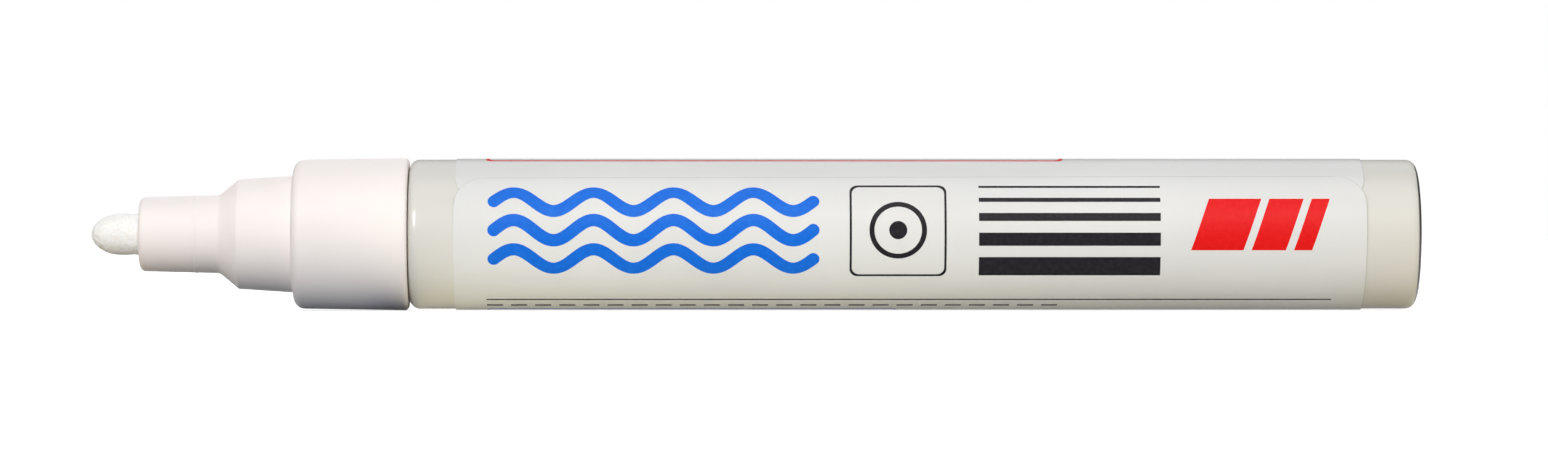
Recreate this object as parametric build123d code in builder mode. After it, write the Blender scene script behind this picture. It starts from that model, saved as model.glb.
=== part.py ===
"""Valve-action paint marker, lying on its side with the cap off.

The marker lies along X with the nib towards -X, the front of the label faces -Y and +Z is up.
The origin is on the floor under the middle of the marker. All sizes are in millimetres.
"""

import math
import os

from build123d import *

# Lengths along the marker, from the nib's tip to the tail
overall_length = 132.3
nib_exposed = 4.85
sleeve_length = 7.95
cone_length = 1.92
mid_length = 5.48
collar_length = 11.5
collar_gap = 0.08

# Fibre nib
nib_radius = 2.1
nib_nose_length = 3.0
nib_length = 25.5
nib_tail_chamfer = 0.4

# Nosepiece, outside
sleeve_wall = 0.74
sleeve_rise = 0.195
sleeve_edge_fillet = 0.65
seam_offset = 5.65
seam_width = 0.24
seam_height = 0.05
mid_rise = 0.36
cone_root_fillet = 0.8
step_fillet = 0.25
collar_face = 0.25
collar_front_fillet = 1.1
collar_rise = 0.18
collar_overhang = 0.15
collar_rear_fillet = 0.4

# Nosepiece, inside
nib_clearance = 0.12
mouth_length = 1.55
mouth_chamfer = 0.3
rib_height = 0.73
rib_width = 0.7
rib_count = 6
rib_root = 0.3
mid_wall = 0.9
collar_web = 1.0
thread_clearance = 0.05
bore_chamfer = 0.3

# Barrel
barrel_radius = 7.45
barrel_wall = 0.5
shoulder_thickness = 0.7
base_thickness = 1.2
shoulder_fillet = 1.0
shoulder_face = 0.2
tail_fillet = 0.95
tank_fillet = 0.4
neck_wall = 0.6
neck_root_fillet = 0.3

# Label film
label_setback = 4.55
label_length = 90.4
label_thickness = 0.095
label_glue = 0.01
overlap_gap = 0.015
flap_edge_angle = 47.0
flap_overlap_angle = 25.0
flap_ramp_angle = 40.0
flap_ramp_margin = 2.0
flap_corner_radius = 2.8

# Valve housing
housing_clearance = 0.1
spigot_length = 4.6
flange_thickness = 1.2
gasket_thickness = 0.8
neck_fit_clearance = 0.15
neck_fit_length = 8.0
housing_relief = 0.2
housing_wall = 0.8
socket_clearance = 0.15
groove_count = 4
groove_width = 1.0
groove_depth = 0.6
chamber_length = 12.2

# Valve
press_travel = 1.5
seat_web_gap = 0.4
seat_throat_length = 0.6
seat_throat_radius = 1.55
seat_cone_length = 1.0
seat_gap = 0.06
stem_radius = 1.1
head_rim = 0.15
head_thickness = 1.0
spring_spigot_radius = 1.35
spring_spigot_length = 2.6
guide_stem_radius = 1.0

# Spring
wire_radius = 0.2
coil_radius = 1.9
coil_turns = 7
spring_seat_gap = 0.05

# Spring retainer
guide_clearance = 0.1
retainer_plug_length = 1.4
retainer_plug_clearance = 0.05
retainer_flange_thickness = 1.2
retainer_boss_radius = 1.9
retainer_boss_length = 1.2
stem_end_cover = 0.5
inlet_count = 6
inlet_radius = 0.45

# Mixing ball
ball_radius = 2.75
ball_gap = 0.08
ball_from_base = 30.0

# Stations along X
tip_x = -overall_length / 2
tail_x = overall_length / 2
holder_front_x = tip_x + nib_exposed
seam_x = holder_front_x + seam_offset
cone_front_x = holder_front_x + sleeve_length
cone_rear_x = cone_front_x + cone_length
collar_front_x = cone_rear_x + mid_length
collar_rear_x = collar_front_x + collar_length
shoulder_x = collar_rear_x + collar_gap
flange_front_x = collar_front_x + collar_web
flange_rear_x = flange_front_x + flange_thickness
mouth_x = flange_rear_x + gasket_thickness
tank_front_x = shoulder_x + shoulder_thickness
tank_rear_x = tail_x - base_thickness
label_front_x = shoulder_x + label_setback
label_rear_x = label_front_x + label_length
nib_tail_x = tip_x + nib_length
seat_web_x = nib_tail_x + press_travel + seat_web_gap
seat_front_x = seat_web_x + seat_throat_length
chamber_front_x = seat_front_x + seat_cone_length
chamber_rear_x = chamber_front_x + chamber_length
spring_rear_x = chamber_rear_x - retainer_plug_length
retainer_rear_x = chamber_rear_x + retainer_flange_thickness + retainer_boss_length

# Radii of the nib's sleeve, from the nib outwards
mouth_bore = nib_radius + nib_clearance
sleeve_bore = mouth_bore + rib_height
sleeve_front_radius = sleeve_bore + sleeve_wall
sleeve_rear_radius = sleeve_front_radius + sleeve_rise
socket_radius = nib_radius + socket_clearance

# Radii of the collar, mid section and neck, from the barrel inwards
tank_radius = barrel_radius - barrel_wall
collar_rear_radius = barrel_radius + collar_overhang
collar_front_radius = collar_rear_radius - collar_rise
mid_rear_radius = collar_front_radius - collar_front_fillet - collar_face - step_fillet
mid_front_radius = mid_rear_radius - mid_rise
mid_bore = mid_front_radius - mid_wall
neck_radius = barrel_radius - shoulder_fillet - shoulder_face - neck_root_fillet
neck_bore = neck_radius - neck_wall
collar_bore = neck_radius + thread_clearance

# Radii of the valve, which goes in through the neck
spigot_radius = mid_bore - housing_clearance
flange_radius = collar_bore - housing_clearance
neck_fit_radius = neck_bore - neck_fit_clearance
housing_radius = neck_fit_radius - housing_relief
chamber_radius = housing_radius - housing_wall
seat_cone_radius = seat_throat_radius + seat_cone_length
head_radius = seat_cone_radius + head_rim
plug_radius = chamber_radius - retainer_plug_clearance
inlet_circle_radius = (retainer_boss_radius + plug_radius) / 2
axis_height = max(collar_rear_radius, barrel_radius + label_glue + label_thickness)

# The profile plane holds the marker's axis, with X along it and the radius up
profile_plane = Plane(origin=(0, 0, axis_height), x_dir=(1, 0, 0), z_dir=(0, -1, 0))
marker_axis = Axis((0, 0, axis_height), (1, 0, 0))


def cross_plane(x):
    """A plane across the marker at x, which extrudes towards the tail."""
    return Plane(origin=(x, 0, axis_height), x_dir=(0, 1, 0), z_dir=(1, 0, 0))


def corner(profile, x, radius):
    """The corner of a profile nearest to a station and a radius."""
    return profile.vertices().sort_by_distance((x, radius, 0))[0]


def write(builder, name):
    """Labels a finished piece and writes it to its own file."""
    builder.part.label = name
    export_step(builder.part, f"parts/{name}.step")


# Barrel: a drawn can with a necked mouth and a closed, rounded tail
with BuildPart() as barrel:
    with BuildSketch(profile_plane) as can_profile:
        with BuildLine():
            Polyline(
                (tail_x, 0),
                (tail_x, barrel_radius),
                (shoulder_x, barrel_radius),
                (shoulder_x, neck_radius),
                (mouth_x, neck_radius),
                (mouth_x, neck_bore),
                (tank_front_x, neck_bore),
                (tank_front_x, tank_radius),
                (tank_rear_x, tank_radius),
                (tank_rear_x, 0),
                close=True,
            )
        make_face()
        fillet(corner(can_profile, tail_x, barrel_radius), tail_fillet)
        fillet(corner(can_profile, shoulder_x, barrel_radius), shoulder_fillet)
        fillet(corner(can_profile, shoulder_x, neck_radius), neck_root_fillet)
        fillet(corner(can_profile, tank_front_x, tank_radius), tank_fillet)
        fillet(corner(can_profile, tank_rear_x, tank_radius), tank_fillet)
    revolve(axis=marker_axis)

# Label: the film goes once round the barrel and ends in a flap that laps over its own start.
# Angles are measured from the front of the label, upwards.
film_inner = barrel_radius + label_glue
film_outer = film_inner + label_thickness
flap_inner = film_outer + overlap_gap
flap_outer = flap_inner + label_thickness
film_start = flap_edge_angle - flap_overlap_angle
flap_start = film_start + 360 - flap_ramp_margin
ramp_start = flap_start - flap_ramp_angle
ramp_middle = (ramp_start + flap_start) / 2
flap_end = flap_edge_angle + 360
label_plane = Plane(
    origin=(label_rear_x, 0, axis_height), x_dir=(0, -1, 0), z_dir=(-1, 0, 0)
)


def on_film(radius, angle):
    """A point of the label's cross section."""
    return Vector(radius, 0).rotate(Axis.Z, angle)


with BuildPart() as flap:
    with BuildSketch(label_plane):
        with BuildLine():
            CenterArc((0, 0), flap_inner, flap_start, flap_end - flap_start)
            Line(on_film(flap_inner, flap_end), on_film(flap_outer, flap_end))
            CenterArc((0, 0), flap_outer, flap_end, flap_start - flap_end)
            Line(on_film(flap_outer, flap_start), on_film(flap_inner, flap_start))
        make_face()
    extrude(amount=label_length)
    # The free edge's two corners are cut round, looking straight down on that edge
    edge_direction = Vector(0, -1, 0).rotate(Axis.X, -flap_edge_angle)
    edge_plane = Plane(origin=(0, 0, axis_height), x_dir=(1, 0, 0), z_dir=edge_direction)
    with BuildSketch(edge_plane):
        for end_x, inward in ((label_front_x, 1), (label_rear_x, -1)):
            with Locations((end_x, 0)):
                Rectangle(2 * flap_corner_radius, 2 * flap_corner_radius)
            with Locations((end_x + inward * flap_corner_radius, -flap_corner_radius)):
                Circle(flap_corner_radius, mode=Mode.SUBTRACT)
    extrude(amount=2 * barrel_radius, mode=Mode.SUBTRACT)

with BuildPart() as barrel_label:
    with BuildSketch(label_plane):
        with BuildLine():
            CenterArc((0, 0), film_inner, film_start, ramp_start - film_start)
            ThreePointArc(
                on_film(film_inner, ramp_start),
                on_film((film_inner + flap_inner) / 2, ramp_middle),
                on_film(flap_inner, flap_start),
            )
            Line(on_film(flap_inner, flap_start), on_film(flap_outer, flap_start))
            ThreePointArc(
                on_film(flap_outer, flap_start),
                on_film((film_outer + flap_outer) / 2, ramp_middle),
                on_film(film_outer, ramp_start),
            )
            CenterArc((0, 0), film_outer, ramp_start, film_start - ramp_start)
            Line(on_film(film_outer, film_start), on_film(film_inner, film_start))
        make_face()
    extrude(amount=label_length)
    add(flap.part)

# Nosepiece: nib sleeve, cone, mid section and collar in one moulding
with BuildPart() as front_holder:
    with BuildSketch(profile_plane) as holder_profile:
        sleeve_taper = (sleeve_rear_radius - sleeve_front_radius) / sleeve_length
        seam_radius = sleeve_front_radius + sleeve_taper * seam_offset
        with BuildLine():
            Polyline(
                (holder_front_x, mouth_bore),
                (holder_front_x, sleeve_front_radius),
                (seam_x - seam_width / 2, seam_radius - sleeve_taper * seam_width / 2),
                (seam_x, seam_radius + seam_height),
                (seam_x + seam_width / 2, seam_radius + sleeve_taper * seam_width / 2),
                (cone_front_x, sleeve_rear_radius),
                (cone_rear_x, mid_front_radius),
                (collar_front_x, mid_rear_radius),
                (collar_front_x, collar_front_radius),
                (collar_rear_x, collar_rear_radius),
                (collar_rear_x, collar_bore),
                (flange_front_x, collar_bore),
                (flange_front_x, mid_bore),
                (cone_rear_x, mid_bore),
                (cone_front_x, sleeve_bore),
                (holder_front_x + mouth_length, sleeve_bore),
                (holder_front_x + mouth_length, mouth_bore),
                close=True,
            )
        make_face()
        fillet(corner(holder_profile, holder_front_x, sleeve_front_radius), sleeve_edge_fillet)
        fillet(corner(holder_profile, cone_front_x, sleeve_rear_radius), cone_root_fillet)
        fillet(corner(holder_profile, cone_rear_x, mid_front_radius), step_fillet)
        fillet(corner(holder_profile, collar_front_x, mid_rear_radius), step_fillet)
        fillet(corner(holder_profile, collar_front_x, collar_front_radius), collar_front_fillet)
        fillet(corner(holder_profile, collar_rear_x, collar_rear_radius), collar_rear_fillet)
        chamfer(corner(holder_profile, collar_rear_x, collar_bore), bore_chamfer)
        chamfer(corner(holder_profile, holder_front_x, mouth_bore), mouth_chamfer)
    revolve(axis=marker_axis)
    # Ribs that guide the nib and leave grooves between them for paint and air
    with BuildSketch(cross_plane(holder_front_x + mouth_length)):
        with PolarLocations(mouth_bore, rib_count):
            Rectangle(rib_height + rib_root, rib_width, align=(Align.MIN, Align.CENTER))
    extrude(amount=sleeve_length - mouth_length)

# Nib: a compressed fibre rod with an elliptical nose and a chamfered tail
with BuildPart() as nib:
    with BuildSketch(profile_plane):
        with BuildLine():
            EllipticalCenterArc(
                (tip_x + nib_nose_length, 0), nib_nose_length, nib_radius, start_angle=90, arc_size=90
            )
            Polyline(
                (tip_x, 0),
                (nib_tail_x, 0),
                (nib_tail_x, nib_radius - nib_tail_chamfer),
                (nib_tail_x - nib_tail_chamfer, nib_radius),
                (tip_x + nib_nose_length, nib_radius),
            )
        make_face()
    revolve(axis=marker_axis)

# Valve housing: nib socket in front, clamped flange, valve seat and spring chamber behind
with BuildPart() as valve_housing:
    with BuildSketch(profile_plane):
        with BuildLine():
            Polyline(
                (flange_front_x - spigot_length, socket_radius),
                (flange_front_x - spigot_length, spigot_radius),
                (flange_front_x, spigot_radius),
                (flange_front_x, flange_radius),
                (flange_rear_x, flange_radius),
                (flange_rear_x, neck_fit_radius),
                (flange_rear_x + neck_fit_length, neck_fit_radius),
                (flange_rear_x + neck_fit_length, housing_radius),
                (chamber_rear_x, housing_radius),
                (chamber_rear_x, chamber_radius),
                (chamber_front_x, chamber_radius),
                (chamber_front_x, seat_cone_radius),
                (seat_front_x, seat_throat_radius),
                (seat_web_x, seat_throat_radius),
                (seat_web_x, socket_radius),
                close=True,
            )
        make_face()
    revolve(axis=marker_axis)
    # Grooves that feed paint along the nib's tail
    with BuildSketch(cross_plane(flange_front_x - spigot_length)):
        with PolarLocations(socket_radius, groove_count):
            Rectangle(2 * groove_depth, groove_width)
    extrude(amount=seat_web_x - flange_front_x + spigot_length, mode=Mode.SUBTRACT)

# Gasket: a flat ring between the housing's flange and the barrel's mouth
with BuildPart() as neck_gasket:
    with BuildSketch(cross_plane(flange_rear_x)):
        Circle(flange_radius)
        Circle(neck_fit_radius + housing_clearance, mode=Mode.SUBTRACT)
    extrude(amount=gasket_thickness)

# Plunger: stem, conical head that shuts the seat, spring spigot and guide stem
cone_offset = seat_gap * math.sqrt(2)
head_cone_x = seat_front_x + stem_radius - seat_throat_radius + cone_offset
head_front_x = seat_front_x + head_radius - seat_throat_radius + cone_offset
head_rear_x = head_front_x + head_thickness
stem_end_x = retainer_rear_x - press_travel - stem_end_cover
with BuildPart() as valve_plunger:
    with BuildSketch(profile_plane):
        with BuildLine():
            Polyline(
                (nib_tail_x, 0),
                (nib_tail_x, stem_radius),
                (head_cone_x, stem_radius),
                (head_front_x, head_radius),
                (head_rear_x, head_radius),
                (head_rear_x, spring_spigot_radius),
                (head_rear_x + spring_spigot_length, spring_spigot_radius),
                (head_rear_x + spring_spigot_length, guide_stem_radius),
                (stem_end_x, guide_stem_radius),
                (stem_end_x, 0),
                close=True,
            )
        make_face()
    revolve(axis=marker_axis)

# Spring: an open helix, whose path is made of two tangent arcs to each quarter turn
spring_front_x = head_rear_x + spring_seat_gap + wire_radius
spring_end_x = spring_rear_x - spring_seat_gap - wire_radius
coil_pitch = (spring_end_x - spring_front_x) / coil_turns
quarter_turns = 4 * coil_turns


def coil_point(turn):
    """A point of the spring's centre line after a number of turns."""
    angle = 2 * math.pi * turn
    return Vector(
        spring_front_x + coil_pitch * turn,
        coil_radius * math.cos(angle),
        axis_height + coil_radius * math.sin(angle),
    )


def coil_tangent(turn):
    """The direction of the spring's centre line after a number of turns."""
    angle = 2 * math.pi * turn
    around = 2 * math.pi * coil_radius
    return Vector(coil_pitch, -around * math.sin(angle), around * math.cos(angle)).normalized()


def biarc_joint(start, start_tangent, end, end_tangent):
    """Where two arcs meet that leave and arrive along the given tangents, and their direction there."""
    chord = end - start
    a = 2 * (start_tangent.dot(end_tangent) - 1)
    b = -2 * chord.dot(start_tangent + end_tangent)
    c = chord.dot(chord)
    reach = (-b - math.sqrt(b * b - 4 * a * c)) / (2 * a)
    before = start + start_tangent * reach
    after = end - end_tangent * reach
    return (before + after) * 0.5, after - before


with BuildPart() as valve_spring:
    with BuildLine():
        for quarter in range(quarter_turns):
            first = quarter / 4
            last = (quarter + 1) / 4
            joint, direction = biarc_joint(
                coil_point(first), coil_tangent(first), coil_point(last), coil_tangent(last)
            )
            TangentArc(coil_point(first), joint, tangent=coil_tangent(first))
            TangentArc(joint, coil_point(last), tangent=direction)
    with BuildSketch(Plane(origin=coil_point(0), z_dir=coil_tangent(0))):
        Circle(wire_radius)
    sweep()

# Retainer: plug, flange and guide boss in the housing's rear end, with paint inlets through it
guide_bore = guide_stem_radius + guide_clearance
with BuildPart() as spring_retainer:
    with BuildSketch(profile_plane):
        with BuildLine():
            Polyline(
                (spring_rear_x, guide_bore),
                (spring_rear_x, plug_radius),
                (chamber_rear_x, plug_radius),
                (chamber_rear_x, housing_radius),
                (chamber_rear_x + retainer_flange_thickness, housing_radius),
                (chamber_rear_x + retainer_flange_thickness, retainer_boss_radius),
                (retainer_rear_x, retainer_boss_radius),
                (retainer_rear_x, guide_bore),
                close=True,
            )
        make_face()
    revolve(axis=marker_axis)
    with BuildSketch(cross_plane(spring_rear_x)):
        with PolarLocations(inlet_circle_radius, inlet_count):
            Circle(inlet_radius)
    extrude(amount=retainer_rear_x - spring_rear_x, mode=Mode.SUBTRACT)

# Mixing ball: loose in the tank, lying on its lower wall
ball_drop = tank_radius - ball_radius - ball_gap
ball_x = tank_rear_x - ball_from_base
with BuildPart() as mixing_ball:
    with Locations((ball_x, 0, axis_height - ball_drop)):
        Sphere(ball_radius)

os.makedirs("parts", exist_ok=True)
write(barrel, "barrel")
write(barrel_label, "barrel_label")
write(front_holder, "front_holder")
write(nib, "nib")
write(valve_housing, "valve_housing")
write(valve_plunger, "valve_plunger")
write(valve_spring, "valve_spring")
write(spring_retainer, "spring_retainer")
write(neck_gasket, "neck_gasket")
write(mixing_ball, "mixing_ball")

# The least gap between the spring's turns, measured on points of its centre line
points_per_turn = 48
coil_points = [coil_point(n / points_per_turn) for n in range(coil_turns * points_per_turn + 1)]
half_turn = points_per_turn // 2
least_distance = min(
    (coil_points[i] - coil_points[j]).length
    for i in range(len(coil_points))
    for j in range(i + half_turn, len(coil_points))
)
print("least gap of the spring to itself, mm:", round(least_distance - 2 * wire_radius, 3))
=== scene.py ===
"""Paint marker lying on its side with the cap off: looks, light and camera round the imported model.

Lengths are written in millimetres and angles in degrees, and are converted where they are used.
The marker lies along X with the nib towards -X, the front of the label faces -Y and +Z is up.
"""

import math

import bmesh
import bpy
from mathutils import Color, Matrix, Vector, noise


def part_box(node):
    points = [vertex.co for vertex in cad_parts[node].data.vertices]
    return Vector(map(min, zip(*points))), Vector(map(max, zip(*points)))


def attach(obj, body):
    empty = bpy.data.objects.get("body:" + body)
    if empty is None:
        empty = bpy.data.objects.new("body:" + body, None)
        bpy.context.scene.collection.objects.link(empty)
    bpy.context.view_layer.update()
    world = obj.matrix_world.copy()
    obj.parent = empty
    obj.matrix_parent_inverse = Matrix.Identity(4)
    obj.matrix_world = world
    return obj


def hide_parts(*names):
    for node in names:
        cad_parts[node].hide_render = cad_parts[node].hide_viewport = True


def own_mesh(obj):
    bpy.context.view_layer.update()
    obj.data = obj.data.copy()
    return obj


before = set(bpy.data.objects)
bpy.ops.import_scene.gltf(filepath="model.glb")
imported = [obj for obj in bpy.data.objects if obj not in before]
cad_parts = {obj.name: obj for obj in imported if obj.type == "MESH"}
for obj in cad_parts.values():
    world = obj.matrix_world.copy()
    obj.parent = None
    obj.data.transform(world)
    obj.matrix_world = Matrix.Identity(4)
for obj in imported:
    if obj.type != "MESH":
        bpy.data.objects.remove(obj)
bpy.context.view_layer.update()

MM = 0.001


def box_mm(node):
    """A CAD node's lowest and highest corner in millimetres."""
    low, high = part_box(node)
    return low / MM, high / MM


holder_low, holder_high = box_mm("front_holder")
barrel_low, barrel_high = box_mm("barrel")
label_low, label_high = box_mm("barrel_label")
nib_low, nib_high = box_mm("nib")
spring_low, spring_high = box_mm("valve_spring")

AXIS_Z = (barrel_low.z + barrel_high.z) / 2

# Nosepiece. A pair of radii is the front and rear end of a taper.
SLEEVE_LENGTH = 7.95
CONE_LENGTH = 1.92
MID_LENGTH = 5.48
SLEEVE_RADII = (3.69, 3.885)
MID_RADII = (5.46, 5.82)
COLLAR_RADII = (7.42, (holder_high.z - holder_low.z) / 2)
SLEEVE_EDGE_FILLET = 0.65
CONE_ROOT_FILLET = 0.8
STEP_FILLET = 0.25
COLLAR_FRONT_FILLET = 1.1
COLLAR_REAR_FILLET = 0.4
SEAM_OFFSET = 5.65
SEAM_WIDTH = 0.24
SEAM_HEIGHT = 0.05
SEAM_FILLET = 0.1
MOUTH_BORE = 2.22
MOUTH_CHAMFER = 0.3
MOUTH_LENGTH = 1.55
SLEEVE_BORE = 2.95
MID_BORE = 4.56
COLLAR_BORE = 6.0
COLLAR_WEB = 1.0
BORE_CHAMFER = 0.3
RIB_COUNT = 6
RIB_WIDTH = 0.7
RIB_ROOT = 0.3

# Barrel
BARREL_RADIUS = 7.45
TANK_RADIUS = 6.95
NECK_RADIUS = 5.95
NECK_BORE = 5.35
NECK_LENGTH = 8.58
SHOULDER_THICKNESS = 0.7
BASE_THICKNESS = 1.2
SHOULDER_FILLET = 1.0
NECK_ROOT_FILLET = 0.3
TAIL_FILLET = 0.95
TANK_FILLET = 0.4
# How far the painted shade at the tail reaches in from its end
RIM_WIDTH = 0.3
BASE_EDGE = 0.01

# Label film: its radii on the barrel and on the flap, with the ink counted in the printed ones
INK_THICKNESS = 0.008
PRINTED_FILM_RADIUS = 7.553
PRINTED_FLAP_RADIUS = 7.66
FILM_INNER = 7.46
FILM_OUTER = PRINTED_FILM_RADIUS - INK_THICKNESS
FLAP_INNER = 7.57
FLAP_OUTER = PRINTED_FLAP_RADIUS - INK_THICKNESS

# Label film: the angles of its wrap, counted up from the front
FILM_START = 23.0
RAMP_START = 340.0
FLAP_START = 380.0
FLAP_END = 407.0
FLAP_LEAN = 2.0

# Label film: its edges. It reaches a little further back than its solid, and its start is narrower than
# its flap, by an inset at the front and one at the rear.
FILM_REACH = 0.1
FILM_FRONT = label_low.x
FILM_REAR = label_high.x + FILM_REACH
FILM_CORNER_RADIUS = 3.3
# How far in from the film's edges its painted shade fades out
FILM_RIM = 0.1
START_INSETS = (0.17, 0.1)

# Nib
NIB_RADIUS = 2.1
NIB_NOSE_LENGTH = 3.0
NIB_TAIL_CHAMFER = 0.4
NIB_EXPOSED_LENGTH = 9.0
STRAND_LENGTH = 0.6
STRAND_WIDTH = 0.28
STRAND_DEPTH = 0.08
PIT_SIZE = 0.45
PIT_DEPTH = 0.14

# Spring
WIRE_RADIUS = 0.2
COIL_RADIUS = 1.9
COIL_TURNS = 7

# Fineness of the meshes
LATHE_SEGMENTS = 192
NIB_SEGMENTS = 160
FILLET_STEPS = 8
EDGE_SUPPORT = 0.02


# Mesh helpers


def around_axis(x, radius, angle):
    """A point in metres, at a radius from the marker's axis and an angle above the front."""
    turn = math.radians(angle)
    return Vector((x, -radius * math.cos(turn), AXIS_Z + radius * math.sin(turn))) * MM


def finish_mesh(name, shell, material, sharp_angle=30.0):
    """Makes an object of a closed shell, smooth but for its sharp edges."""
    bmesh.ops.recalc_face_normals(shell, faces=shell.faces)
    mesh = bpy.data.meshes.new(name)
    shell.to_mesh(mesh)
    shell.free()
    mesh.shade_smooth()
    mesh.set_sharp_from_angle(angle=math.radians(sharp_angle))
    mesh.materials.append(material)
    piece = bpy.data.objects.new(name, mesh)
    bpy.context.scene.collection.objects.link(piece)
    return piece


def rounded(corners):
    """Points along an outline of (x, radius, fillet) corners, with arcs at the filleted ones.

    A further point just outside each arc keeps the straight stretches beside it flat in the shading.
    """
    points = []
    for index, (x, radius, fillet) in enumerate(corners):
        here = Vector((x, radius))
        if not fillet:
            points.append(here)
            continue
        before = (Vector(corners[index - 1][:2]) - here).normalized()
        after = (Vector(corners[(index + 1) % len(corners)][:2]) - here).normalized()
        half = before.angle(after) / 2
        centre = here + (before + after).normalized() * (fillet / math.sin(half))
        setback = fillet / math.tan(half)
        start = here + before * setback - centre
        end = here + after * setback - centre
        sweep = math.pi - 2 * half
        points.append(here + before * (setback + EDGE_SUPPORT))
        for step in range(FILLET_STEPS + 1):
            turn = sweep * step / FILLET_STEPS
            spoke = start * math.sin(sweep - turn) + end * math.sin(turn)
            points.append(centre + spoke / math.sin(sweep))
        points.append(here + after * (setback + EDGE_SUPPORT))
    return points


def join_rings(shell, rings, closed):
    """Faces between neighbouring rings of vertices. A ring of one vertex is a pole."""
    pairs = list(zip(rings, rings[1:]))
    if closed:
        pairs.append((rings[-1], rings[0]))
    for first, second in pairs:
        count = max(len(first), len(second))
        for here in range(count):
            following = (here + 1) % count
            corners = [first[here % len(first)], first[following % len(first)]]
            corners += [second[following % len(second)], second[here % len(second)]]
            shell.faces.new(list(dict.fromkeys(corners)))


def lathe(outline, relief=None, segments=LATHE_SEGMENTS, closed=True):
    """A shell turned round the marker's axis from points of (x, radius), with an optional relief."""
    shell = bmesh.new()
    rings = []
    for x, radius in outline:
        if radius <= 0:
            rings.append([shell.verts.new(around_axis(x, 0, 0))])
            continue
        ring = []
        for segment in range(segments):
            angle = 360 * segment / segments
            depth = relief(x, radius, angle) if relief else 0
            ring.append(shell.verts.new(around_axis(x, radius - depth, angle)))
        rings.append(ring)
    join_rings(shell, rings, closed)
    return shell


# Materials


def linear(red, green, blue):
    """A colour of 0 to 255 as it is seen, in Blender's linear values."""
    seen = Color((red / 255, green / 255, blue / 255))
    return (*seen.from_srgb_to_scene_linear(), 1.0)


class Surface:
    """A principled material whose colour, roughness and relief vary over the surface."""

    def __init__(self, name, specular):
        self.material = bpy.data.materials.new(name)
        self.material.use_nodes = True
        self.nodes = self.material.node_tree.nodes
        self.links = self.material.node_tree.links
        self.shader = self.nodes["Principled BSDF"]
        self.shader.inputs["Specular IOR Level"].default_value = specular
        self.place = self.nodes.new("ShaderNodeTexCoord").outputs["Object"]
        self.normal = None

    def scaled_place(self, size, stretch):
        """The place on the surface, counted in size millimetres and drawn out along X, Y and Z."""
        mapping = self.nodes.new("ShaderNodeMapping")
        mapping.inputs["Scale"].default_value = [1 / (size * MM * factor) for factor in stretch]
        self.links.new(self.place, mapping.inputs["Vector"])
        return mapping.outputs["Vector"]

    def grain(self, size, stretch=(1, 1, 1), detail=3.0):
        """A noise whose features are about size millimetres, drawn out by stretch along X, Y and Z."""
        place = self.scaled_place(size, stretch)
        texture = self.nodes.new("ShaderNodeTexNoise")
        texture.inputs["Scale"].default_value = 1.0
        texture.inputs["Detail"].default_value = detail
        self.links.new(place, texture.inputs["Vector"])
        return texture.outputs["Fac"]

    def cells(self, size, stretch=(1, 1, 1)):
        """Distance to the nearest of scattered points about size millimetres apart."""
        place = self.scaled_place(size, stretch)
        texture = self.nodes.new("ShaderNodeTexVoronoi")
        texture.inputs["Scale"].default_value = 1.0
        self.links.new(place, texture.inputs["Vector"])
        return texture.outputs["Distance"]

    def rings(self, size):
        """A noise of rings about size millimetres wide round the marker's axis."""
        mapping = self.nodes.new("ShaderNodeMapping")
        mapping.inputs["Location"].default_value = (0, 0, -AXIS_Z / size)
        mapping.inputs["Scale"].default_value = (0, 1 / (size * MM), 1 / (size * MM))
        self.links.new(self.place, mapping.inputs["Vector"])
        reach = self.nodes.new("ShaderNodeVectorMath")
        reach.operation = "LENGTH"
        self.links.new(mapping.outputs["Vector"], reach.inputs[0])
        texture = self.nodes.new("ShaderNodeTexNoise")
        texture.noise_dimensions = "1D"
        texture.inputs["Scale"].default_value = 1.0
        self.links.new(reach.outputs["Value"], texture.inputs["W"])
        return texture.outputs["Fac"]

    def past(self, x, blur):
        """Nought in front of x millimetres along the marker and one behind it."""
        split = self.nodes.new("ShaderNodeSeparateXYZ")
        self.links.new(self.place, split.inputs["Vector"])
        step = self.nodes.new("ShaderNodeMapRange")
        step.inputs["From Min"].default_value = (x - blur / 2) * MM
        step.inputs["From Max"].default_value = (x + blur / 2) * MM
        self.links.new(split.outputs["X"], step.inputs["Value"])
        return step.outputs["Result"]

    def attribute(self, name):
        """A value that the mesh carries at its vertices."""
        reader = self.nodes.new("ShaderNodeAttribute")
        reader.attribute_name = name
        return reader.outputs["Fac"]

    def ramp(self, source, first, second, low=0.35, high=0.65):
        """A colour that goes from first to second as the source goes from low to high."""
        ramp = self.nodes.new("ShaderNodeValToRGB")
        ramp.color_ramp.elements[0].position = low
        ramp.color_ramp.elements[0].color = first
        ramp.color_ramp.elements[1].position = high
        ramp.color_ramp.elements[1].color = second
        self.links.new(source, ramp.inputs["Fac"])
        return ramp.outputs["Color"]

    def blend(self, share, first, second):
        """A colour between two others."""
        mix = self.nodes.new("ShaderNodeMix")
        mix.data_type = "RGBA"
        for socket, source in (("Factor", share), ("A", first), ("B", second)):
            target = next(i for i in mix.inputs if i.name == socket and i.enabled)
            self.links.new(source, target)
        return next(o for o in mix.outputs if o.enabled)

    def paint(self, colour):
        """Sets the base colour."""
        self.links.new(colour, self.shader.inputs["Base Color"])

    def roughness(self, source, low, high):
        """Lets the roughness wander between two values."""
        spread = self.nodes.new("ShaderNodeMapRange")
        spread.inputs["To Min"].default_value = low
        spread.inputs["To Max"].default_value = high
        self.links.new(source, spread.inputs["Value"])
        self.links.new(spread.outputs["Result"], self.shader.inputs["Roughness"])

    def relief(self, source, depth):
        """Adds a bump of about depth millimetres on top of those before it."""
        bump = self.nodes.new("ShaderNodeBump")
        bump.inputs["Distance"].default_value = depth * MM
        self.links.new(source, bump.inputs["Height"])
        if self.normal:
            self.links.new(self.normal, bump.inputs["Normal"])
        self.normal = bump.outputs["Normal"]
        self.links.new(self.normal, self.shader.inputs["Normal"])


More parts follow.
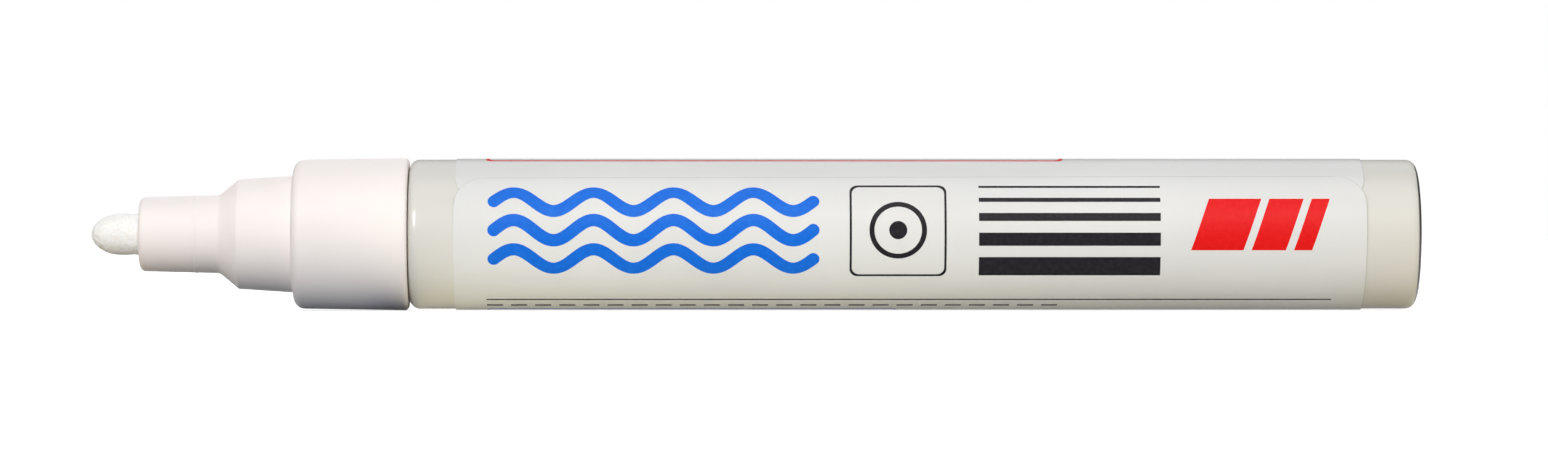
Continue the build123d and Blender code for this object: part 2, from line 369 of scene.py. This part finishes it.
def moulded_plastic():
    """White satin moulding with faint flow marks along it and a fine tool texture."""
    surface = Surface("nose_plastic_satin", specular=0.07)
    clouds = surface.grain(size=4, stretch=(2, 1, 1))
    surface.paint(surface.ramp(clouds, linear(250, 242, 239), linear(253, 245, 242)))
    surface.roughness(surface.grain(size=0.8), low=0.5, high=0.62)
    surface.relief(surface.grain(size=0.12), depth=0.002)
    surface.relief(surface.grain(size=2.5, stretch=(3, 1, 1)), depth=0.006)
    return surface.material


def cream_lacquer():
    """Cream baked lacquer with faint draw lines, which ends at a rim of painted shade round the turned
    metal base.
    """
    surface = Surface("cream_lacquer_satin", specular=0.15)
    clouds = surface.grain(size=5, stretch=(4, 1, 1))
    lacquer = surface.ramp(clouds, linear(218, 215, 208), linear(222, 219, 213))
    # Painted shade: a dark band on the last stretch of lacquer before the base stands in for the shade at
    # the tail's rounded edge
    mottle = surface.grain(size=0.6)
    painted_shade_rim = surface.ramp(mottle, linear(62, 56, 58), linear(78, 72, 73), low=0.3, high=0.7)
    turning = surface.rings(size=0.25)
    turned = surface.ramp(turning, linear(168, 167, 165), linear(190, 189, 187), low=0.3, high=0.7)
    on_painted_shade_rim = surface.past(barrel_high.x - RIM_WIDTH, blur=RIM_WIDTH / 4)
    on_base = surface.past(barrel_high.x - BASE_EDGE, blur=BASE_EDGE / 2)
    surface.paint(surface.blend(on_base, surface.blend(on_painted_shade_rim, lacquer, painted_shade_rim), turned))
    surface.links.new(on_base, surface.shader.inputs["Metallic"])
    surface.roughness(surface.grain(size=1.2), low=0.18, high=0.24)
    surface.relief(surface.grain(size=0.9), depth=0.0015)
    surface.relief(surface.grain(size=0.35, stretch=(40, 1, 1)), depth=0.001)
    return surface.material


def film_satin(surface):
    """Gives a surface the film's satin, which the ink on it shares."""
    surface.roughness(surface.grain(size=1.5), low=0.18, high=0.25)
    surface.relief(surface.grain(size=0.2), depth=0.0008)


def label_film():
    """White printed film: satin, slightly wavy over the metal, with painted shade along its cut edges."""
    surface = Surface("label_film_satin", specular=0.15)
    clouds = surface.grain(size=7, stretch=(3, 1, 1))
    face = surface.ramp(clouds, linear(224, 223, 222), linear(228, 227, 226))
    mottle = surface.grain(size=0.6)
    # Painted shade along the film's cut edges and its back, wherever the vertices carry the rim value
    painted_edge_shade = surface.ramp(mottle, linear(186, 183, 177), linear(202, 199, 193), low=0.3, high=0.7)
    surface.paint(surface.blend(surface.attribute("rim"), face, painted_edge_shade))
    surface.relief(surface.grain(size=3.5, stretch=(2.5, 1, 1)), depth=0.002)
    film_satin(surface)
    return surface.material


def ink(name, shade, thin_shade):
    """Printed ink with slight density changes under the film's satin."""
    surface = Surface(name, specular=0.15)
    surface.paint(surface.ramp(surface.grain(size=0.5), shade, thin_shade, low=0.4, high=0.8))
    film_satin(surface)
    return surface.material


def nib_fibre():
    """Compressed white fibre: matted strands with small dark pits between them."""
    surface = Surface("nib_fibre_matted", specular=0.25)
    surface.shader.inputs["Sheen Weight"].default_value = 0.15
    surface.shader.inputs["Subsurface Weight"].default_value = 0.6
    surface.shader.inputs["Subsurface Radius"].default_value = (1.0, 0.95, 0.85)
    surface.shader.inputs["Subsurface Scale"].default_value = 1.2 * MM
    strands = surface.cells(size=0.2, stretch=(1.8, 1, 1))
    fibres = surface.ramp(strands, linear(255, 254, 250), linear(247, 243, 236), low=0.35, high=0.95)
    surface.paint(fibres)
    surface.roughness(surface.grain(size=0.1), low=0.6, high=0.95)
    surface.relief(strands, depth=0.02)
    surface.relief(surface.grain(size=0.09, stretch=(3, 1, 1), detail=5.0), depth=0.015)
    return surface.material


def valve_plastic():
    """Natural moulded plastic of the valve's pieces."""
    surface = Surface("valve_plastic_natural", specular=0.35)
    surface.paint(surface.ramp(surface.grain(size=1.5), linear(219, 222, 219), linear(226, 228, 226)))
    surface.roughness(surface.grain(size=0.5), low=0.35, high=0.5)
    surface.relief(surface.grain(size=0.1), depth=0.002)
    return surface.material


def steel(name, low, high, stretch):
    """Steel with fine marks drawn out along stretch, and a roughness between low and high."""
    surface = Surface(name, specular=0.5)
    surface.shader.inputs["Metallic"].default_value = 1.0
    marks = surface.grain(size=0.4, stretch=stretch)
    surface.paint(surface.ramp(marks, linear(178, 178, 180), linear(204, 204, 206)))
    surface.roughness(surface.grain(size=0.3, stretch=stretch), low, high)
    surface.relief(surface.grain(size=0.12, stretch=stretch), depth=0.001)
    return surface.material


def gasket_rubber():
    """Dark matt rubber with a dusty bloom."""
    surface = Surface("gasket_rubber_matt", specular=0.3)
    surface.paint(surface.ramp(surface.grain(size=0.6), linear(40, 40, 42), linear(58, 58, 60)))
    surface.roughness(surface.grain(size=0.3), low=0.7, high=0.9)
    surface.relief(surface.grain(size=0.08), depth=0.004)
    return surface.material


# Pieces


def add_rib(shell, turn):
    """A guide rib for the nib along the sleeve's bore, at a turn in radians. It is sunk in the wall."""
    out = Vector((0, math.cos(turn), math.sin(turn)))
    across = Vector((0, -math.sin(turn), math.cos(turn)))
    length = SLEEVE_LENGTH - MOUTH_LENGTH
    height = SLEEVE_BORE + RIB_ROOT - MOUTH_BORE
    middle_x = holder_low.x + (SLEEVE_LENGTH + MOUTH_LENGTH) / 2
    middle = Vector((middle_x, 0, AXIS_Z)) + out * ((MOUTH_BORE + SLEEVE_BORE + RIB_ROOT) / 2)
    for vertex in bmesh.ops.create_cube(shell, size=1)["verts"]:
        along = Vector((vertex.co.x * length, 0, 0))
        place = middle + along + out * (vertex.co.y * height) + across * (vertex.co.z * RIB_WIDTH)
        vertex.co = place * MM


def make_nosepiece(material):
    """Sleeve, cone, mid section and collar in one moulding, with the nib's guide ribs inside."""
    front, rear = holder_low.x, holder_high.x
    cone_front = front + SLEEVE_LENGTH
    cone_rear = cone_front + CONE_LENGTH
    collar_front = cone_rear + MID_LENGTH
    taper = (SLEEVE_RADII[1] - SLEEVE_RADII[0]) / SLEEVE_LENGTH
    seam = front + SEAM_OFFSET
    seam_radius = SLEEVE_RADII[0] + taper * SEAM_OFFSET
    half_width = SEAM_WIDTH / 2
    outline = rounded(
        [
            (front, MOUTH_BORE + MOUTH_CHAMFER, 0),
            (front, SLEEVE_RADII[0], SLEEVE_EDGE_FILLET),
            (seam - half_width, seam_radius - taper * half_width, SEAM_FILLET),
            (seam, seam_radius + SEAM_HEIGHT, SEAM_FILLET),
            (seam + half_width, seam_radius + taper * half_width, SEAM_FILLET),
            (cone_front, SLEEVE_RADII[1], CONE_ROOT_FILLET),
            (cone_rear, MID_RADII[0], STEP_FILLET),
            (collar_front, MID_RADII[1], STEP_FILLET),
            (collar_front, COLLAR_RADII[0], COLLAR_FRONT_FILLET),
            (rear, COLLAR_RADII[1], COLLAR_REAR_FILLET),
            (rear, COLLAR_BORE + BORE_CHAMFER, 0),
            (rear - BORE_CHAMFER, COLLAR_BORE, 0),
            (collar_front + COLLAR_WEB, COLLAR_BORE, 0),
            (collar_front + COLLAR_WEB, MID_BORE, 0),
            (cone_rear, MID_BORE, 0),
            (cone_front, SLEEVE_BORE, 0),
            (front + MOUTH_LENGTH, SLEEVE_BORE, 0),
            (front + MOUTH_LENGTH, MOUTH_BORE, 0),
            (front + MOUTH_CHAMFER, MOUTH_BORE, 0),
        ]
    )
    shell = lathe(outline)
    for rib in range(RIB_COUNT):
        add_rib(shell, 2 * math.pi * rib / RIB_COUNT)
    piece = finish_mesh("nosepiece", shell, material)
    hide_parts("front_holder")
    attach(piece, "marker_body")


def make_barrel(material):
    """Drawn can with a rounded shoulder, a necked mouth and a closed tail."""
    mouth, tail = barrel_low.x, barrel_high.x
    shoulder = mouth + NECK_LENGTH
    tank_front = shoulder + SHOULDER_THICKNESS
    tank_rear = tail - BASE_THICKNESS
    outline = rounded(
        [
            (tail, 0, 0),
            (tail, BARREL_RADIUS, TAIL_FILLET),
            (shoulder, BARREL_RADIUS, SHOULDER_FILLET),
            (shoulder, NECK_RADIUS, NECK_ROOT_FILLET),
            (mouth, NECK_RADIUS, 0),
            (mouth, NECK_BORE, 0),
            (tank_front, NECK_BORE, 0),
            (tank_front, TANK_RADIUS, TANK_FILLET),
            (tank_rear, TANK_RADIUS, TANK_FILLET),
            (tank_rear, 0, 0),
        ]
    )
    piece = finish_mesh("barrel_can", lathe(outline, closed=False), material)
    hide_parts("barrel")
    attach(piece, "marker_body")


def fibre_relief(x, radius, angle):
    """How deep the nib's surface lies below its round form: matted strands with pits between them."""
    point = around_axis(x, radius, angle) / MM
    along_strand = point.x / STRAND_LENGTH
    strands = noise.noise(Vector((along_strand, point.y / STRAND_WIDTH, point.z / STRAND_WIDTH)))
    pits = noise.noise(point / PIT_SIZE)
    depth = STRAND_DEPTH * (1 + strands) / 2 + PIT_DEPTH * max(0, pits)
    return min(depth, radius / 2)


def make_nib(material):
    """Fibre rod with an elliptical nose, roughened by matted strands where it shows."""
    tip, tail = nib_low.x, nib_high.x
    nose_steps, exposed_steps = 40, 60
    outline = []
    for step in range(nose_steps + 1):
        turn = math.pi / 2 * step / nose_steps
        x = tip + NIB_NOSE_LENGTH * (1 - math.cos(turn))
        outline.append(Vector((x, NIB_RADIUS * math.sin(turn))))
    for step in range(1, exposed_steps + 1):
        x = tip + NIB_NOSE_LENGTH + (NIB_EXPOSED_LENGTH - NIB_NOSE_LENGTH) * step / exposed_steps
        outline.append(Vector((x, NIB_RADIUS)))
    outline.append(Vector((tail - NIB_TAIL_CHAMFER, NIB_RADIUS)))
    outline.append(Vector((tail, NIB_RADIUS - NIB_TAIL_CHAMFER)))
    outline.append(Vector((tail, 0)))
    shell = lathe(outline, relief=fibre_relief, segments=NIB_SEGMENTS, closed=False)
    piece = finish_mesh("nib_fibre_rod", shell, material, sharp_angle=60)
    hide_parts("nib")
    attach(piece, "writing_nib")


def film_radius(angle, inner, outer):
    """The film's radius at an angle of its wrap, between its level on the barrel and on the flap."""
    share = min(max((angle - RAMP_START) / (FLAP_START - RAMP_START), 0), 1)
    smooth_share = share * share * (3 - 2 * share)
    return inner + (outer - inner) * smooth_share


def corner_reach(angle):
    """How far an angle of the wrap reaches into the film's round corners, or nought between them."""
    from_end = math.radians(min(angle - FILM_START, FLAP_END - angle)) * FLAP_OUTER
    return max(FILM_CORNER_RADIUS - from_end, 0)


def film_stations(angle):
    """Places along the film at an angle of its wrap, from its front edge to its rear edge."""
    columns = 40
    inset = FILM_CORNER_RADIUS - math.sqrt(FILM_CORNER_RADIUS**2 - corner_reach(angle) ** 2)
    from_flap = (FLAP_END - angle) / (FLAP_END - FILM_START)
    low = FILM_FRONT + inset + START_INSETS[0] * from_flap
    high = FILM_REAR - inset - START_INSETS[1] * from_flap
    width = high - low - 2 * FILM_RIM
    return [low] + [low + FILM_RIM + width * k / columns for k in range(columns + 1)] + [high]


def make_label(material):
    """One film wrapped round the barrel, narrower at its start, with round corners and painted shade along
    its free edges.
    """
    angle_steps = 260
    rim_start = FLAP_END - math.degrees(FILM_RIM / FLAP_OUTER)
    angles = [FILM_START + (rim_start - FILM_START) * k / angle_steps for k in range(angle_steps + 1)]
    angles.append(FLAP_END)
    shell = bmesh.new()
    # The rim value marks the vertices that get painted shade
    rim = shell.verts.layers.float.new("rim")
    rings = []
    for angle in angles:
        outer = film_radius(angle, FILM_OUTER, FLAP_OUTER)
        inner = film_radius(angle, FILM_INNER, FLAP_INNER)
        lean = FLAP_LEAN * max(angle - FLAP_START, 0) / (FLAP_END - FLAP_START)
        lean_per_mm = lean / (FILM_REAR - FILM_FRONT)
        leaning = [(x, angle + lean_per_mm * (x - FILM_FRONT)) for x in film_stations(angle)]
        face = [shell.verts.new(around_axis(x, outer, turn)) for x, turn in leaning]
        back = [shell.verts.new(around_axis(x, inner, turn)) for x, turn in reversed(leaning)]
        # Painted shade goes on the back, and on the rear edge, the flap's end and its round front corner
        painted_shade_verts = back + face[-1:]
        if angle == FLAP_END:
            painted_shade_verts += face
        elif corner_reach(angle) and angle > FLAP_START:
            painted_shade_verts.append(face[0])
        for vertex in painted_shade_verts:
            vertex[rim] = 1
        rings.append(face + back)
    join_rings(shell, rings, closed=False)
    across = len(rings[0]) // 2
    for ring in (rings[0], rings[-1]):
        for k in range(across - 1):
            shell.faces.new([ring[k], ring[k + 1], ring[-k - 2], ring[-k - 1]])
    piece = finish_mesh("label_film", shell, material)
    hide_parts("barrel_label")
    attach(piece, "marker_body")


def make_spring(material):
    """Round wire wound into an open helix."""
    front = spring_low.x + WIRE_RADIUS
    rear = spring_high.x - WIRE_RADIUS
    steps_per_turn, sides = 48, 12
    pitch = (rear - front) / COIL_TURNS
    rise = pitch / (2 * math.pi * COIL_RADIUS)
    shell = bmesh.new()
    rings = []
    for step in range(COIL_TURNS * steps_per_turn + 1):
        turn = 2 * math.pi * step / steps_per_turn
        out = Vector((0, math.cos(turn), math.sin(turn)))
        around = Vector((rise, -math.sin(turn), math.cos(turn))).normalized()
        up = around.cross(out)
        centre = Vector((front + pitch * step / steps_per_turn, 0, AXIS_Z)) + out * COIL_RADIUS
        ring = []
        for side in range(sides):
            roll = 2 * math.pi * side / sides
            place = centre + (out * math.cos(roll) + up * math.sin(roll)) * WIRE_RADIUS
            ring.append(shell.verts.new(place * MM))
        rings.append(ring)
    join_rings(shell, rings, closed=False)
    shell.faces.new(rings[0])
    shell.faces.new(rings[-1])
    piece = finish_mesh("spring_wire", shell, material, sharp_angle=60)
    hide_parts("valve_spring")
    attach(piece, "marker_body")
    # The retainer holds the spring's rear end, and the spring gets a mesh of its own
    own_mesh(piece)


# Print on the label. A place is counted along the marker from the label's front edge, and round the
# film above its front line.


class Print:
    """A thin layer of one ink on the label, made of closed patches."""

    grid_step = 0.3
    bar_step = 2.0
    fewest_bar_steps = 2
    fewest_disc_steps = 6
    fewest_ring_steps = 24

    def __init__(self, name, material):
        self.name = name
        self.material = material
        self.shell = bmesh.new()

    def on_label(self, along, above, height):
        """A point on the film, or height millimetres over it."""
        angle = math.degrees(above / FILM_OUTER)
        # Below the flap's end, the end of the wrap lies on top
        wrap = angle + 360 if angle < FLAP_END - 360 else angle
        radius = film_radius(wrap, FILM_OUTER, FLAP_OUTER)
        return around_axis(label_low.x + along, radius + height, angle)

    def layer(self, grid, height):
        """Vertices at a grid of (along, above) places, height millimetres over the film."""
        return [[self.shell.verts.new(self.on_label(*place, height)) for place in row] for row in grid]

    def patch(self, grid, ring=False):
        """A closed patch over a grid of (along, above) rows. In a ring, the last row meets the first."""
        top = self.layer(grid, INK_THICKNESS)
        base = self.layer(grid, 0)
        join_rings(self.shell, [upper + lower[::-1] for upper, lower in zip(top, base)], closed=ring)
        if ring:
            return
        for upper, lower in ((top[0], base[0]), (top[-1], base[-1])):
            for k in range(len(upper) - 1):
                self.shell.faces.new([upper[k], upper[k + 1], lower[k + 1], lower[k]])

    def bar(self, first, last, low, high, slant=0.0):
        """A straight bar, which may lean to the tail."""
        rows = max(self.fewest_bar_steps, round((high - low) / self.grid_step))
        steps = max(self.fewest_bar_steps, round((last - first) / self.bar_step))
        rises = [(high - low) * row / rows for row in range(rows + 1)]
        grid = []
        for step in range(steps + 1):
            along = first + (last - first) * step / steps
            grid.append([(along + slant * rise, low + rise) for rise in rises])
        self.patch(grid)

    def wave(self, first, last, level, rise, wave_length, half_width):
        """A line of one width along a wave, with round ends."""
        steps = round((last - first) / self.grid_step)
        cap_steps, rows = 8, 4
        pace = 2 * math.pi / wave_length
        spine = []
        for step in range(steps + 1):
            along = first + (last - first) * step / steps
            centre = Vector((along, level + rise * math.sin(pace * (along - first))))
            ahead = Vector((1, rise * pace * math.cos(pace * (along - first)))).normalized()
            spine.append((centre, ahead, half_width))
        for end, sign in ((0, -1), (-1, 1)):
            centre, ahead, _ = spine[end]
            cap = []
            for step in range(1, cap_steps):
                turn = math.pi / 2 * step / cap_steps
                reach = ahead * (sign * half_width * math.sin(turn))
                cap.append((centre + reach, ahead, half_width * math.cos(turn)))
            spine = cap[::-1] + spine if sign < 0 else spine + cap
        grid = []
        for centre, ahead, half in spine:
            across = Vector((-ahead.y, ahead.x)) * half
            grid.append([tuple(centre + across * (2 * row / rows - 1)) for row in range(rows + 1)])
        self.patch(grid)

    def border(self, first, last, low, high, radius, width):
        """A thin frame with round corners."""
        corners = ((first, low), (last, low), (last, high), (first, high))
        outline = rounded([(along, above, radius) for along, above in corners])
        length, height = last - first, high - low
        middle = Vector(((first + last) / 2, (low + high) / 2))
        scale = Vector(((length - 2 * width) / length, (height - 2 * width) / height))
        grid = []
        for start, end in zip(outline, outline[1:] + outline[:1]):
            steps = max(1, round((end - start).length / self.grid_step))
            for step in range(steps):
                point = start.lerp(end, step / steps)
                inward = middle + (point - middle) * scale
                grid.append([tuple(point), tuple(inward)])
        self.patch(grid, ring=True)

    def disc(self, along, above, radius):
        """A filled disc, made of a square grid drawn out to a circle."""
        steps = max(self.fewest_disc_steps, round(2 * radius / self.grid_step))
        shares = [2 * step / steps - 1 for step in range(steps + 1)]
        grid = []
        for across in shares:
            row = []
            for up in shares:
                x = across * math.sqrt(1 - up * up / 2)
                y = up * math.sqrt(1 - across * across / 2)
                row.append((along + radius * x, above + radius * y))
            grid.append(row)
        self.patch(grid)

    def ring(self, along, above, radius, width):
        """A circle drawn with a pen of the given width."""
        steps = max(self.fewest_ring_steps, round(2 * math.pi * radius / self.grid_step))
        reaches = (radius - width / 2, radius + width / 2)
        grid = []
        for step in range(steps):
            turn = 2 * math.pi * step / steps
            x, y = math.cos(turn), math.sin(turn)
            grid.append([(along + reach * x, above + reach * y) for reach in reaches])
        self.patch(grid, ring=True)

    def finish(self):
        """Makes the piece of all patches so far."""
        piece = finish_mesh(self.name, self.shell, self.material)
        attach(piece, "marker_body")


def make_print():
    """A plain design of waves, a ring, bars and rules in blue, red and black."""
    red = Print("print_red", ink("ink_red", linear(228, 6, 8), linear(234, 24, 22)))
    blue = Print("print_blue", ink("ink_blue", linear(5, 104, 218), linear(16, 114, 224)))
    black = Print("print_black", ink("ink_black", linear(22, 19, 25), linear(36, 33, 38)))

    # Three blue waves, one above the other
    wave_levels = (3.3, 0.4, -2.5)
    for level in wave_levels:
        blue.wave(first=4.0, last=35.6, level=level, rise=1.0, wave_length=7.9, half_width=0.62)

    # Framed panel with a ring and a dot
    panel_middle = (44.0, 0.4)
    black.border(first=39.2, last=48.8, low=-4.4, high=5.15, radius=0.8, width=0.22)
    black.ring(*panel_middle, radius=2.6, width=0.5)
    black.disc(*panel_middle, radius=0.9)

    # Line widths, from thin to bold
    line_widths, line_gap = (0.25, 0.45, 0.8, 1.3, 2.0), 1.15
    line_top = 5.1
    for width in line_widths:
        black.bar(first=52.0, last=70.0, low=line_top - width, high=line_top)
        line_top -= width + line_gap

    # Red leaning bars
    bar_widths, bar_gap = (5.2, 3.4, 1.8), 0.8
    bar_start = 73.0
    for width in bar_widths:
        red.bar(first=bar_start, last=bar_start + width, low=-1.6, high=3.6, slant=0.35)
        bar_start += width + bar_gap

    # A rule and a row of dashes along the label's lower front
    margin = 3.2
    dash_count, dash_length, dash_pitch = 24, 1.6, 2.4
    black.bar(first=margin, last=87.2, low=-7.9, high=-7.68)
    for dash in range(dash_count):
        dash_start = margin + dash_pitch * dash
        black.bar(first=dash_start, last=dash_start + dash_length, low=-9.3, high=-8.9)

    # Plain frames on top of the label and under it
    red.border(first=3.1, last=60.6, low=9.8, high=18.4, radius=0.6, width=0.35)
    blue.border(first=margin, last=44.0, low=-19.0, high=-10.4, radius=0.6, width=0.2)

    for ink_layer in (red, blue, black):
        ink_layer.finish()


def dress_cad_nodes():
    """Materials for the pieces inside, whose CAD shape is right as it is."""
    valve = valve_plastic()
    finishes = {
        "valve_housing": valve,
        "valve_plunger": valve,
        "spring_retainer": valve,
        "neck_gasket": gasket_rubber(),
        "mixing_ball": steel("ball_steel_polished", low=0.08, high=0.18, stretch=(1, 1, 1)),
    }
    for name, material in finishes.items():
        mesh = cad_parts[name].data
        mesh.materials.clear()
        mesh.materials.append(material)


# Studio


def direction(azimuth, elevation):
    """A unit vector from the marker, at an azimuth from the front to the right and an elevation."""
    turn, rise = math.radians(azimuth), math.radians(elevation)
    return Vector((math.sin(turn) * math.cos(rise), -math.cos(turn) * math.cos(rise), math.sin(rise)))


def seen_or_mirrored(tree):
    """One for rays that come from the camera, a reflection or glass, and nought for the rest."""
    path = tree.nodes.new("ShaderNodeLightPath")
    total = path.outputs["Is Camera Ray"]
    for other in ("Is Glossy Ray", "Is Transmission Ray"):
        most = tree.nodes.new("ShaderNodeMath")
        most.operation = "MAXIMUM"
        tree.links.new(total, most.inputs[0])
        tree.links.new(path.outputs[other], most.inputs[1])
        total = most.outputs[0]
    return total


def bounce_tint(tree):
    """The floor's tint for the light that it throws back.

    It is dull under the nose, darkest under the collar's rear edge, and pale and warm under the barrel.
    """
    half_span = 70.0
    collar_rear = holder_high.x
    shade_start, shade_full, shade_end = -4.5, -2.4, 0.2
    glow_start, glow_settled = 0.7, 3.0
    dimmed_before_label_end = 4.0
    stops = (
        (nib_low.x, (0.36, 0.3, 0.23)),
        (holder_low.x + SLEEVE_LENGTH, (0.19, 0.215, 0.225)),
        (collar_rear + shade_start, (0.15, 0.2, 0.24)),
        (collar_rear + shade_full, (0.0, 0.03, 0.1)),
        (collar_rear + shade_end, (0.0, 0.0, 0.02)),
        (collar_rear + glow_start, (1.0, 0.97, 0.78)),
        (collar_rear + glow_settled, (0.9, 0.86, 0.66)),
        (label_high.x - dimmed_before_label_end, (0.58, 0.56, 0.49)),
        (barrel_high.x, (0.56, 0.51, 0.32)),
    )
    place = tree.nodes.new("ShaderNodeTexCoord")
    split = tree.nodes.new("ShaderNodeSeparateXYZ")
    share = tree.nodes.new("ShaderNodeMapRange")
    share.inputs["From Min"].default_value = -half_span * MM
    share.inputs["From Max"].default_value = half_span * MM
    ramp = tree.nodes.new("ShaderNodeValToRGB")
    elements = ramp.color_ramp.elements
    while len(elements) < len(stops):
        elements.new(1.0)
    for element, (x, tint) in zip(elements, stops):
        element.position = (x + half_span) / (2 * half_span)
        element.color = (*tint, 1)
    tree.links.new(place.outputs["Object"], split.inputs["Vector"])
    tree.links.new(split.outputs["X"], share.inputs["Value"])
    tree.links.new(share.outputs["Result"], ramp.inputs["Fac"])
    return ramp.outputs["Color"]


def stage_plane(name, corners, material):
    """A plane of the studio, which isn't part of the marker."""
    mesh = bpy.data.meshes.new(name)
    mesh.from_pydata([Vector(corner) * MM for corner in corners], [], [(0, 1, 2, 3)])
    mesh.materials.append(material)
    plane = bpy.data.objects.new(name, mesh)
    bpy.context.scene.collection.objects.link(plane)
    return plane


def make_floor():
    """A pale floor that looks white and keeps the marker's shadow."""
    half_size = 4000
    glow_strength, pale_grey = 0.5, (0.9, 0.9, 0.9, 1)
    material = bpy.data.materials.new("floor_white")
    material.use_nodes = True
    tree = material.node_tree
    tree.nodes.clear()
    output = tree.nodes.new("ShaderNodeOutputMaterial")
    glow = tree.nodes.new("ShaderNodeEmission")
    glow.inputs["Strength"].default_value = glow_strength
    pale = tree.nodes.new("ShaderNodeBsdfDiffuse")
    pale.inputs["Color"].default_value = pale_grey
    shown = tree.nodes.new("ShaderNodeAddShader")
    bounce = tree.nodes.new("ShaderNodeBsdfDiffuse")
    tree.links.new(bounce_tint(tree), bounce.inputs["Color"])
    pick = tree.nodes.new("ShaderNodeMixShader")
    tree.links.new(glow.outputs[0], shown.inputs[0])
    tree.links.new(pale.outputs[0], shown.inputs[1])
    tree.links.new(seen_or_mirrored(tree), pick.inputs["Fac"])
    tree.links.new(bounce.outputs[0], pick.inputs[1])
    tree.links.new(shown.outputs[0], pick.inputs[2])
    tree.links.new(pick.outputs[0], output.inputs["Surface"])
    front_corners = [(-half_size, -half_size, 0), (half_size, -half_size, 0)]
    back_corners = [(half_size, half_size, 0), (-half_size, half_size, 0)]
    stage_plane("floor", front_corners + back_corners, material)


def make_world():
    """White where it is seen or mirrored, and a weaker fill light for the rest."""
    fill_tint, fill_strength = (0.95, 0.98, 1.0, 1), 0.4
    world = bpy.data.worlds.new("studio")
    bpy.context.scene.world = world
    world.use_nodes = True
    tree = world.node_tree
    tree.nodes.clear()
    output = tree.nodes.new("ShaderNodeOutputWorld")
    fill = tree.nodes.new("ShaderNodeBackground")
    fill.inputs["Color"].default_value = fill_tint
    fill.inputs["Strength"].default_value = fill_strength
    white = tree.nodes.new("ShaderNodeBackground")
    white.inputs["Color"].default_value = (1, 1, 1, 1)
    pick = tree.nodes.new("ShaderNodeMixShader")
    tree.links.new(seen_or_mirrored(tree), pick.inputs["Fac"])
    tree.links.new(fill.outputs[0], pick.inputs[1])
    tree.links.new(white.outputs[0], pick.inputs[2])
    tree.links.new(pick.outputs[0], output.inputs["Surface"])


def make_lamp(name, azimuth, elevation, spread, strength):
    """Soft even light from one side, which doesn't show in the gloss."""
    light = bpy.data.lights.new(name, "SUN")
    light.angle = math.radians(spread)
    light.energy = strength
    lamp = bpy.data.objects.new(name, light)
    away = direction(azimuth, elevation)
    lamp.location = away
    lamp.rotation_euler = away.to_track_quat("Z", "Y").to_euler()
    lamp.visible_glossy = False
    bpy.context.scene.collection.objects.link(lamp)


def make_card(name, azimuth, low, high, length, radiance):
    """A lit card between two elevations, which shows in the marker's gloss alone."""
    distance = 700
    lower = direction(azimuth, low) * distance * MM
    upper = direction(azimuth, high) * distance * MM
    middle = (lower + upper) / 2
    light = bpy.data.lights.new(name, "AREA")
    light.shape = "RECTANGLE"
    light.size = length * MM
    light.size_y = (upper - lower).length
    light.energy = radiance * math.pi * light.size * light.size_y
    card = bpy.data.objects.new(name, light)
    card.location = middle + Vector((0, 0, AXIS_Z * MM))
    card.rotation_euler = middle.to_track_quat("Z", "Y").to_euler()
    card.visible_camera = False
    card.visible_diffuse = False
    card.visible_transmission = False
    bpy.context.scene.collection.objects.link(card)


def make_flag():
    """A dark card behind the marker that shows in its gloss alone, and draws its upper edge."""
    distance, half_width, height = 600, 1500, 420
    dark_grey = (0.08, 0.08, 0.08, 1)
    material = bpy.data.materials.new("flag_grey")
    material.use_nodes = True
    material.node_tree.nodes["Principled BSDF"].inputs["Base Color"].default_value = dark_grey
    lower_corners = [(-half_width, distance, 0), (half_width, distance, 0)]
    upper_corners = [(half_width, distance, height), (-half_width, distance, height)]
    flag = stage_plane("flag", lower_corners + upper_corners, material)
    flag.visible_camera = False
    flag.visible_diffuse = False
    flag.visible_transmission = False
    flag.visible_shadow = False


def make_camera():
    """A long lens in front of the marker, level with its axis."""
    photo_width, focal_pixels = 1548, 6600
    station_x, distance = -7.4, 660.0
    target_x, target_rise = 2.0, 0.12
    nearest, farthest = 10, 100000
    station = Vector((station_x, -distance, AXIS_Z))
    target = Vector((target_x, 0, AXIS_Z + target_rise))
    camera = bpy.data.cameras.new("camera")
    camera.sensor_width = 36.0
    camera.lens = camera.sensor_width * focal_pixels / photo_width
    camera.clip_start = nearest * MM
    camera.clip_end = farthest * MM
    stand = bpy.data.objects.new("camera", camera)
    stand.location = station * MM
    stand.rotation_euler = (target - station).to_track_quat("-Z", "Y").to_euler()
    bpy.context.scene.collection.objects.link(stand)
    bpy.context.scene.camera = stand


make_nosepiece(moulded_plastic())
make_barrel(cream_lacquer())
make_nib(nib_fibre())
make_label(label_film())
make_print()
make_spring(steel("spring_steel_drawn", low=0.18, high=0.26, stretch=(1, 3, 3)))
dress_cad_nodes()
make_floor()
make_world()
make_lamp("key_light", azimuth=-8, elevation=16, spread=50, strength=2.34)
make_lamp("back_light", azimuth=172, elevation=27, spread=40, strength=1.6)
make_card("softbox", azimuth=0, low=18, high=88, length=2400, radiance=1.5)
make_card("side_card", azimuth=-45, low=12, high=30, length=300, radiance=45)
make_flag()
make_camera()
bpy.context.scene.view_settings.view_transform = "Standard"
